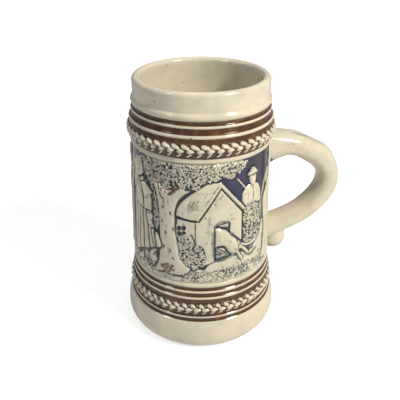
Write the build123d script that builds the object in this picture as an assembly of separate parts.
from build123d import *

import os
from math import cos, exp, hypot, radians, sin

# Half-litre stoneware stein without a lid. Millimetres, +Z up, the origin on the axis at the table
# and the handle towards +X. The moulded body carries a looped handle with its tail turned under,
# two plaited bands and a picture frieze. The bands and the frieze's sprigs are pressed in clay
# moulds and luted on, so each is a piece of its own that lies face to face on the body.

# ---- Driving dimensions -------------------------------------------------------------------------
height = 160.0
mouth_radius = 33.6  # inside the lip
rim_wall = 4.6
wall = 5.0  # side wall under the frieze, at its foot
floor_thickness = 9.0
floor_corner = 9.0  # inside radius where the wall meets the floor

frieze_top_drop = 37.0  # below the rim
frieze_bottom_height = 48.0  # above the table
frieze_step = 1.5  # the frieze's top stands out this far from the lip
frieze_taper = 2.5  # and its foot stands out this far from its top

base_flare = 6.1  # the base stands out this far from the frieze's foot
base_belly_height = 9.0  # where the base is widest
foot_round = 9.8  # from the widest part in to the ring on the table
foot_ring_width = 4.6
foot_recess = 2.0

plait_width = 7.6
plait_proud = 2.2
upper_swell = 1.1  # the upper plait's seat stands out this far from the frieze's top
lower_swell = 1.5  # and the lower plait's seat this far from the frieze's foot

handle_top_drop = 43.5  # where the upper arm's middle meets the wall, below the rim
handle_foot_height = 59.0  # where the lower arm's middle meets the wall, above the table
handle_reach = 39.5  # of the centreline, out from the wall
handle_thickness = 13.4  # inside the loop to outside
handle_width = 17.5
tail_radius = 8.0
tail_reach = 5.4  # of its middle, out from the wall
tail_drop = 8.0  # of its middle, below the lower arm's

picture_azimuth = -7.0  # middle of the picture; 0 is -Y and 90 is the handle
sprig_relief = 1.5
figure_relief = 1.9
ground_relief = 1.0

# ---- Derived sizes ------------------------------------------------------------------------------
rim_radius = mouth_radius + rim_wall
frieze_top = height - frieze_top_drop
frieze_height = frieze_top - frieze_bottom_height
frieze_top_radius = rim_radius + frieze_step
frieze_bottom_radius = frieze_top_radius + frieze_taper
base_radius = frieze_bottom_radius + base_flare
foot_radius = base_radius - foot_round
upper_plait_height = frieze_top + 3.9 + plait_width / 2
lower_plait_height = frieze_bottom_height - 13.6 - plait_width / 2
upper_plait_top = upper_plait_height + plait_width / 2
upper_plait_foot = upper_plait_height - plait_width / 2
lower_plait_top = lower_plait_height + plait_width / 2
lower_plait_foot = lower_plait_height - plait_width / 2
base_shoulder = lower_plait_foot - 5.4
PICTURE_UNITS = 75.0  # a sprig's heights count from 0 at the frieze's foot to 75 at its top
unit = frieze_height / PICTURE_UNITS
cutter_reach = base_radius + 10.0  # blocks that trim the sprigs run well past every surface


def wall_radius(z):
    """Outer radius of the plain wall under the frieze."""
    share = (z - frieze_bottom_height) / frieze_height
    return frieze_bottom_radius - frieze_taper * share


# ---- Body ---------------------------------------------------------------------------------------
# Above its round base the outside is a run of straight stations, with round beads raised on it.
STATIONS = [  # (height, radius), from the base's shoulder up
    (base_shoulder, base_radius - 2.0),
    (base_shoulder + 0.8, frieze_bottom_radius + 3.0),
    (lower_plait_foot - 0.6, frieze_bottom_radius + lower_swell + 0.5),
    (lower_plait_top + 1.2, frieze_bottom_radius + lower_swell),
    (frieze_bottom_height - 4.4, frieze_bottom_radius + 0.2),
    (frieze_bottom_height, frieze_bottom_radius),
    (frieze_top, frieze_top_radius),
    (upper_plait_foot - 0.6, frieze_top_radius + upper_swell - 0.4),
    (upper_plait_top + 0.8, frieze_top_radius + upper_swell),
    (upper_plait_top + 6.1, rim_radius + 0.9),
    (upper_plait_top + 9.6, rim_radius + 0.3),
    (upper_plait_top + 14.5, rim_radius + 0.1),
]
BEADS = [  # (height of its middle, half its width, how proud it stands)
    (lower_plait_foot - 2.3, 0.8, 0.7),
    (lower_plait_top + 3.6, 1.1, 0.9),
    (frieze_bottom_height - 5.9, 1.1, 0.9),
    (frieze_bottom_height - 1.6, 1.2, 0.8),
    (frieze_top + 1.5, 1.1, 0.8),
    (upper_plait_top + 3.4, 1.1, 1.0),
    (upper_plait_top + 8.2, 1.0, 0.9),
    (upper_plait_top + 13.0, 1.9, 1.1),
]


def plain_outside(z):
    """Radius of the outside with its beads left off."""
    for (z0, r0), (z1, r1) in zip(STATIONS, STATIONS[1:]):
        if z0 <= z <= z1:
            return r0 + (r1 - r0) * (z - z0) / (z1 - z0)
    return rim_radius


def base_edges():
    """The round base, from the ring on the table to the shoulder."""
    shoulder_step = base_radius - STATIONS[0][1]
    rise = base_shoulder - base_belly_height
    bend = (rise ** 2 + shoulder_step ** 2) / (2 * shoulder_step)
    flank = base_radius - bend + (bend ** 2 - (rise / 2) ** 2) ** 0.5
    under = (
        foot_radius + foot_round * sin(radians(45)),
        base_belly_height * (1 - cos(radians(45))),
    )
    belly = (base_radius, base_belly_height)
    shoulder = (STATIONS[0][1], base_shoulder)
    return [
        ThreePointArc((foot_radius, 0), under, belly),
        ThreePointArc(belly, (flank, base_belly_height + rise / 2), shoulder),
    ]


def ringed_edges():
    """The outside from the base's shoulder to the top of the lip's wall."""
    hidden = [(z - half, z + half) for z, half, _ in BEADS]
    marks = [(z, None) for z, _ in STATIONS if not any(low < z < high for low, high in hidden)]
    marks += [(z, (half, proud)) for z, half, proud in BEADS]
    edges = []
    at = (STATIONS[0][1], STATIONS[0][0])
    for z, bead in sorted(marks, key=lambda mark: mark[0])[1:]:
        half, proud = bead or (0.0, 0.0)
        start = (plain_outside(z - half), z - half)
        if hypot(start[0] - at[0], start[1] - at[1]) > 0.01:
            edges.append(Line(at, start))
            at = start
        if bead:
            end = (plain_outside(z + half), z + half)
            edges.append(ThreePointArc(at, (plain_outside(z) + proud, z), end))
            at = end
    edges.append(Line(at, (rim_radius, height - rim_wall / 2)))
    return edges


def inside_edges():
    """The rounded lip, the inside, and the recess under the floor."""
    ring_inside = foot_radius - foot_ring_width
    recess_radius = ring_inside - foot_recess
    lip_outside = (rim_radius, height - rim_wall / 2)
    lip_top = (rim_radius - rim_wall / 2, height)
    lip_inside = (mouth_radius, height - rim_wall / 2)
    corner_radius = frieze_bottom_radius - wall
    corner_top = (corner_radius, floor_thickness + floor_corner)
    corner_foot = (corner_radius - floor_corner, floor_thickness)
    swing = floor_corner * (1 - cos(radians(45)))
    corner_middle = (corner_radius - swing, floor_thickness + swing)
    return [
        ThreePointArc(lip_outside, lip_top, lip_inside),
        Line(lip_inside, corner_top),
        ThreePointArc(corner_top, corner_middle, corner_foot),
        Line(corner_foot, (0, floor_thickness)),
        Line((0, floor_thickness), (0, foot_recess)),
        Line((0, foot_recess), (recess_radius, foot_recess)),
        Line((recess_radius, foot_recess), (ring_inside, 0)),
        Line((ring_inside, 0), (foot_radius, 0)),
    ]


def turned_on_wheel(edges):
    """The solid of a closed outline of radius and height, turned about the axis."""
    return revolve(make_face([Plane.XZ * edge for edge in edges]), Axis.Z)


def body():
    """Wall, lip, floor and foot in one moulded shell, with its rings."""
    return turned_on_wheel(base_edges() + ringed_edges() + inside_edges())


def solid_outside():
    """The body with its inside filled, which trims whatever is luted to the body."""
    lip = height - rim_wall / 2
    closing = [
        Line((rim_radius, lip), (0, lip)),
        Line((0, lip), (0, 0)),
        Line((0, 0), (foot_radius, 0)),
    ]
    return turned_on_wheel(base_edges() + ringed_edges() + closing)


# ---- Plaited bands ------------------------------------------------------------------------------
def plait_band(middle, foot, top):
    """A band with a round face, on the straight seat between two grooves."""
    low = (plain_outside(foot), foot)
    high = (plain_outside(top), top)
    crest = (plain_outside(middle) + plait_proud, middle)
    return turned_on_wheel([Line(low, high), ThreePointArc(high, crest, low)])


# ---- Handle -------------------------------------------------------------------------------------
# Centreline: (share of the reach out from the wall, share of the way down to the lower arm).
HANDLE_LINE = [
    (-0.20, 0.02), (0.10, 0.0), (0.40, 0.005), (0.65, 0.09), (0.85, 0.19), (0.97, 0.31), (1.0, 0.44),
    (0.94, 0.58), (0.80, 0.71), (0.60, 0.83), (0.33, 0.925), (0.06, 1.0), (-0.20, 1.07),
]
HANDLE_SECTIONS = 15


def handle_section(along):
    """Half width and half thickness of the section: the ends spread where they are luted on."""
    slimming = 1.07 - 0.14 * along
    upper_joint = exp(-((along / 0.10) ** 2))
    lower_joint = exp(-(((1 - along) / 0.10) ** 2))
    half_width = handle_width / 2 * (slimming + 0.30 * upper_joint + 0.10 * lower_joint)
    half_thickness = handle_thickness / 2 * (slimming + 0.85 * upper_joint + 0.25 * lower_joint)
    return half_width, half_thickness


def handle(outside):
    """A loop of oval section, trimmed to the wall at both ends."""
    top = height - handle_top_drop
    drop = top - handle_foot_height
    points = []
    for out, down in HANDLE_LINE:
        points.append((frieze_top_radius + handle_reach * out, 0, top - drop * down))
    path = Spline(*points)
    sections = []
    for number in range(HANDLE_SECTIONS):
        along = number / (HANDLE_SECTIONS - 1)
        across = Plane(origin=path @ along, x_dir=(0, 1, 0), z_dir=path % along)
        sections.append(across * Ellipse(*handle_section(along)))
    return loft(sections) - outside


def handle_tail(outside, loop):
    """The end of the handle's clay, turned under and pressed to the wall below the lower arm."""
    middle = (
        wall_radius(handle_foot_height) + tail_reach,
        0,
        handle_foot_height - tail_drop,
    )
    knob = Pos(*middle) * Sphere(tail_radius)
    neck = Pos(*middle) * Cylinder(tail_radius, tail_drop, align=(Align.CENTER, Align.CENTER, Align.MIN))
    return largest(knob + neck - outside - loop)


def largest(shape):
    """The main solid of a trimmed shape, without what is cut off beyond the trimmer."""
    return max(shape.solids(), key=lambda solid: solid.volume)


# ---- Frieze -------------------------------------------------------------------------------------
# An outline is a list of (degrees, units): degrees round the wall from the picture's middle,
# positive towards the handle, and units up from the frieze's foot.
TREE_TRUNK = [
    (-37, 5), (-34.5, 16), (-34, 34), (-34.5, 48), (-38, 60), (-46, 70), (-42, 72), (-31, 63),
    (-20, 61), (-9, 61), (-2, 63.5), (-4, 60.5), (-13, 57), (-19, 49), (-20.5, 39), (-19, 27),
    (-15, 13), (-8, 7), (-18, 4), (-28, 5),
]
TREE_CROWN = [
    (-51, 73), (-47, 65), (-40, 59), (-30, 62), (-20, 58), (-10, 60), (0, 60), (6, 65), (13, 64.5),
    (20, 66), (26, 65), (30, 68), (32, 73), (20, 74), (-10, 74), (-40, 74),
]
COTTAGE = [
    (-19, 42), (-20, 46), (-16, 53), (-9, 58), (2, 62), (15.5, 64.5), (27, 54.5), (38, 44.5),
    (34.5, 46), (34.5, 24), (28, 20), (25, 14), (2, 13), (-10, 14), (-18, 26),
]
DOG = [
    (10, 37), (16, 36.5), (22, 33.5), (28, 28.5), (33, 24.5), (39, 22), (46, 21.5), (53, 24.5),
    (53.5, 22.5), (46, 18.5), (38, 19), (40.5, 15.5), (39, 14), (33.5, 18), (35.5, 13.5),
    (33, 12), (29, 17.5), (24, 17.5), (20, 21.5), (16, 26), (10, 26),
]
HUNTER = [
    (38, 47), (34, 51), (34, 56), (37, 58.5), (41, 60), (40.5, 65), (38.5, 66), (42, 69.5), (45.5, 68.5),
    (48.5, 65.5), (46.5, 60.5), (51, 58), (54, 53), (52, 47),
]
RIFLE = [(28.6, 65), (37.5, 57.2), (36.6, 56.4), (27.8, 64.4)]
HEDGE = [
    (37, 24), (35.5, 34), (36, 44), (40, 49), (46, 48), (51, 43), (54.5, 34), (54, 26), (45, 22.5),
]
CORNER_BUSH = [
    (-18, 24), (-17, 31), (-12, 33), (-8, 29), (-5, 26), (-1, 26), (3, 22), (3, 15), (-2, 11),
    (-8, 12), (-14, 16),
]
FARM_GIRL = [
    (-64, 12), (-66, 25), (-63, 40), (-64, 52), (-62, 60), (-62, 69), (-57, 73), (-52, 70),
    (-53, 62), (-46, 57.5), (-40, 53), (-41, 43), (-40.5, 34), (-35, 31), (-32, 25), (-35, 21),
    (-39, 21), (-42, 13), (-50, 10), (-58, 8),
]
FARM_LAD = [
    (-97, 9), (-96, 22), (-99, 38), (-99, 53), (-94, 59), (-95, 66), (-90, 71.5), (-84, 69),
    (-84, 61), (-77, 55), (-72, 50), (-74, 46), (-81, 46), (-83, 30), (-80, 9), (-85, 6),
    (-88.5, 22), (-91.5, 6),
]
FIELD_TREE_TRUNK = [
    (-128, 4), (-124, 14), (-122, 30), (-124, 44), (-130, 57), (-126, 59), (-119, 51), (-114, 59),
    (-110, 58), (-114, 45), (-114, 30), (-112, 14), (-108, 4),
]
FIELD_TREE_CROWN = [
    (-151, 73), (-149, 65), (-142, 58), (-134, 56), (-126, 57), (-119, 54), (-111, 57), (-104, 58),
    (-99, 63), (-97, 73), (-120, 74),
]
GATE_TREE = [
    (57, 5), (60, 16), (60, 32), (58, 48), (61, 60), (65, 72), (79, 73), (75, 60), (73, 44),
    (73, 22), (77, 6), (67, 4),
]
HAYSTACK = [
    (-204, 8), (-206, 20), (-203, 36), (-196, 47), (-191, 52), (-186, 46), (-180, 36), (-177, 20),
    (-179, 8), (-191, 6),
]
GARDEN_BUSH = [
    (-250, 5), (-252, 17), (-247, 27), (-240, 24), (-233, 31), (-226, 27), (-219, 29), (-213, 20),
    (-212, 8), (-230, 4),
]
GOOSE = [
    (-5.5, 7), (-7.5, 12), (-3, 15), (1.5, 15), (3, 20), (4.5, 23), (8, 21.5), (6, 19.5), (5.5, 14),
    (3.5, 8), (-1, 5),
]
geese_at = (-148.0, -134.0)
fence_from = -173.0
fence_to = -158.0
fence_pales = 4
pale_half_width = 1.3  # degrees
ground_waves = 6
GROUND_CREST = [(-32, 4.5), (-18, 6.5), (-3, 4.5), (14, 6.5), (32, 4.5)]


def relief_sleeve(relief):
    """The sleeve of space round the frieze that sprigs of this relief lie in."""
    low = frieze_bottom_height
    inner_low = (wall_radius(low), low)
    outer_low = (wall_radius(low) + relief, low)
    inner_high = (wall_radius(frieze_top), frieze_top)
    outer_high = (wall_radius(frieze_top) + relief, frieze_top)
    return turned_on_wheel([
        Line(inner_low, outer_low),
        Line(outer_low, outer_high),
        Line(outer_high, inner_high),
        Line(inner_high, inner_low),
    ])


def sprig_block(outline, rounded):
    """A long block with the sprig's outline, standing square on the wall at the outline's middle."""
    degrees = [around for around, _ in outline]
    middle = (min(degrees) + max(degrees)) / 2
    mean_radius = (frieze_top_radius + frieze_bottom_radius) / 2
    points = []
    for around, up in outline:
        points.append((mean_radius * sin(radians(around - middle)), frieze_bottom_height + up * unit))
    if rounded:
        edge = Spline(*points, periodic=True)
    else:
        edge = Polyline(*points, close=True)
    block = extrude(Plane.XZ * make_face(edge), amount=cutter_reach, dir=(0, -1, 0))
    return Rot(0, 0, picture_azimuth + middle) * block


def fence_outline():
    """Pointed pales on two rails, as one closed outline: along the tops, then back along the foot."""
    pitch = (fence_to - fence_from) / (fence_pales - 1)
    tops = []
    feet = []
    for number in range(fence_pales):
        middle = fence_from + pitch * number
        left = middle - pale_half_width
        right = middle + pale_half_width
        tops += [(left, 28), (left, 35), (middle, 38), (right, 35), (right, 28)]
        feet += [(left, 12), (left, 5), (right, 5), (right, 12)]
    return tops + feet[::-1]


def fence_gaps():
    """The openings between the two rails, one between each pair of pales."""
    pitch = (fence_to - fence_from) / (fence_pales - 1)
    gaps = []
    for number in range(fence_pales - 1):
        left = fence_from + pitch * number + pale_half_width
        right = fence_from + pitch * (number + 1) - pale_half_width
        gaps.append([(left, 16), (right, 16), (right, 24), (left, 24)])
    return gaps


def moved(outline, degrees):
    """The outline further round the wall."""
    return [(around + degrees, up) for around, up in outline]


def ground_bank(in_front):
    """The bank of earth along the foot of the picture, behind everything that stands on it."""
    bank = relief_sleeve(ground_relief)
    sky = [(-32, PICTURE_UNITS + 5)] + GROUND_CREST + [(32, PICTURE_UNITS + 5)]
    for number in range(ground_waves):
        bank -= sprig_block(moved(sky, number * 360 / ground_waves), rounded=False)
    for block in in_front:
        bank -= block
    return bank


def frieze(luted_on_top):
    """The sprigs by name. Each is trimmed by the pieces in front of it, so none overlap."""
    pictures = [  # from front to back: name, outlines, with round edges, relief
        ("dog", [DOG], False, figure_relief),
        ("farm_girl", [FARM_GIRL], False, figure_relief),
        ("farm_lad", [FARM_LAD], False, figure_relief),
        ("geese", [moved(GOOSE, middle) for middle in geese_at], True, figure_relief),
        ("corner_bush", [CORNER_BUSH], True, sprig_relief),
        ("hedge", [HEDGE], True, sprig_relief),
        ("tree_trunk", [TREE_TRUNK], True, figure_relief),
        ("cottage", [COTTAGE], False, sprig_relief),
        ("hunter", [HUNTER], True, sprig_relief),
        ("rifle", [RIFLE], False, ground_relief),
        ("tree_crown", [TREE_CROWN], True, sprig_relief),
        ("gate_tree", [GATE_TREE], True, sprig_relief),
        ("field_tree_trunk", [FIELD_TREE_TRUNK], False, figure_relief),
        ("field_tree_crown", [FIELD_TREE_CROWN], True, sprig_relief),
        ("haystack", [HAYSTACK], True, sprig_relief),
        ("garden_bush", [GARDEN_BUSH], True, sprig_relief),
        ("fence", [fence_outline()], False, sprig_relief),
    ]
    sprigs = {}
    in_front = list(luted_on_top)
    for name, outlines, rounded, relief in pictures:
        blocks = [sprig_block(outline, rounded) for outline in outlines]
        sprig = blocks[0] & relief_sleeve(relief)
        for block in blocks[1:]:
            sprig += block & relief_sleeve(relief)
        for block in in_front:
            sprig -= block
        if name == "fence":
            for gap in fence_gaps():
                sprig -= sprig_block(gap, rounded=False)
        sprigs[name] = sprig
        in_front += blocks
    sprigs["ground_bank"] = ground_bank(in_front)
    return sprigs


def write(name, shape):
    """One STEP file for each piece."""
    solids = shape.solids()
    piece = solids[0] if len(solids) == 1 else Compound(children=solids)
    piece.label = name
    export_step(piece, f"parts/{name}.step")


os.makedirs("parts", exist_ok=True)
outside = solid_outside()
loop = handle(outside)
tail = handle_tail(outside, loop)
write("body", body())
write("upper_plait_band", plait_band(upper_plait_height, upper_plait_foot, upper_plait_top))
write("lower_plait_band", plait_band(lower_plait_height, lower_plait_foot, lower_plait_top))
write("handle", loop)
write("handle_tail", tail)
for name, sprig in frieze([loop, tail]).items():
    write(name, sprig)
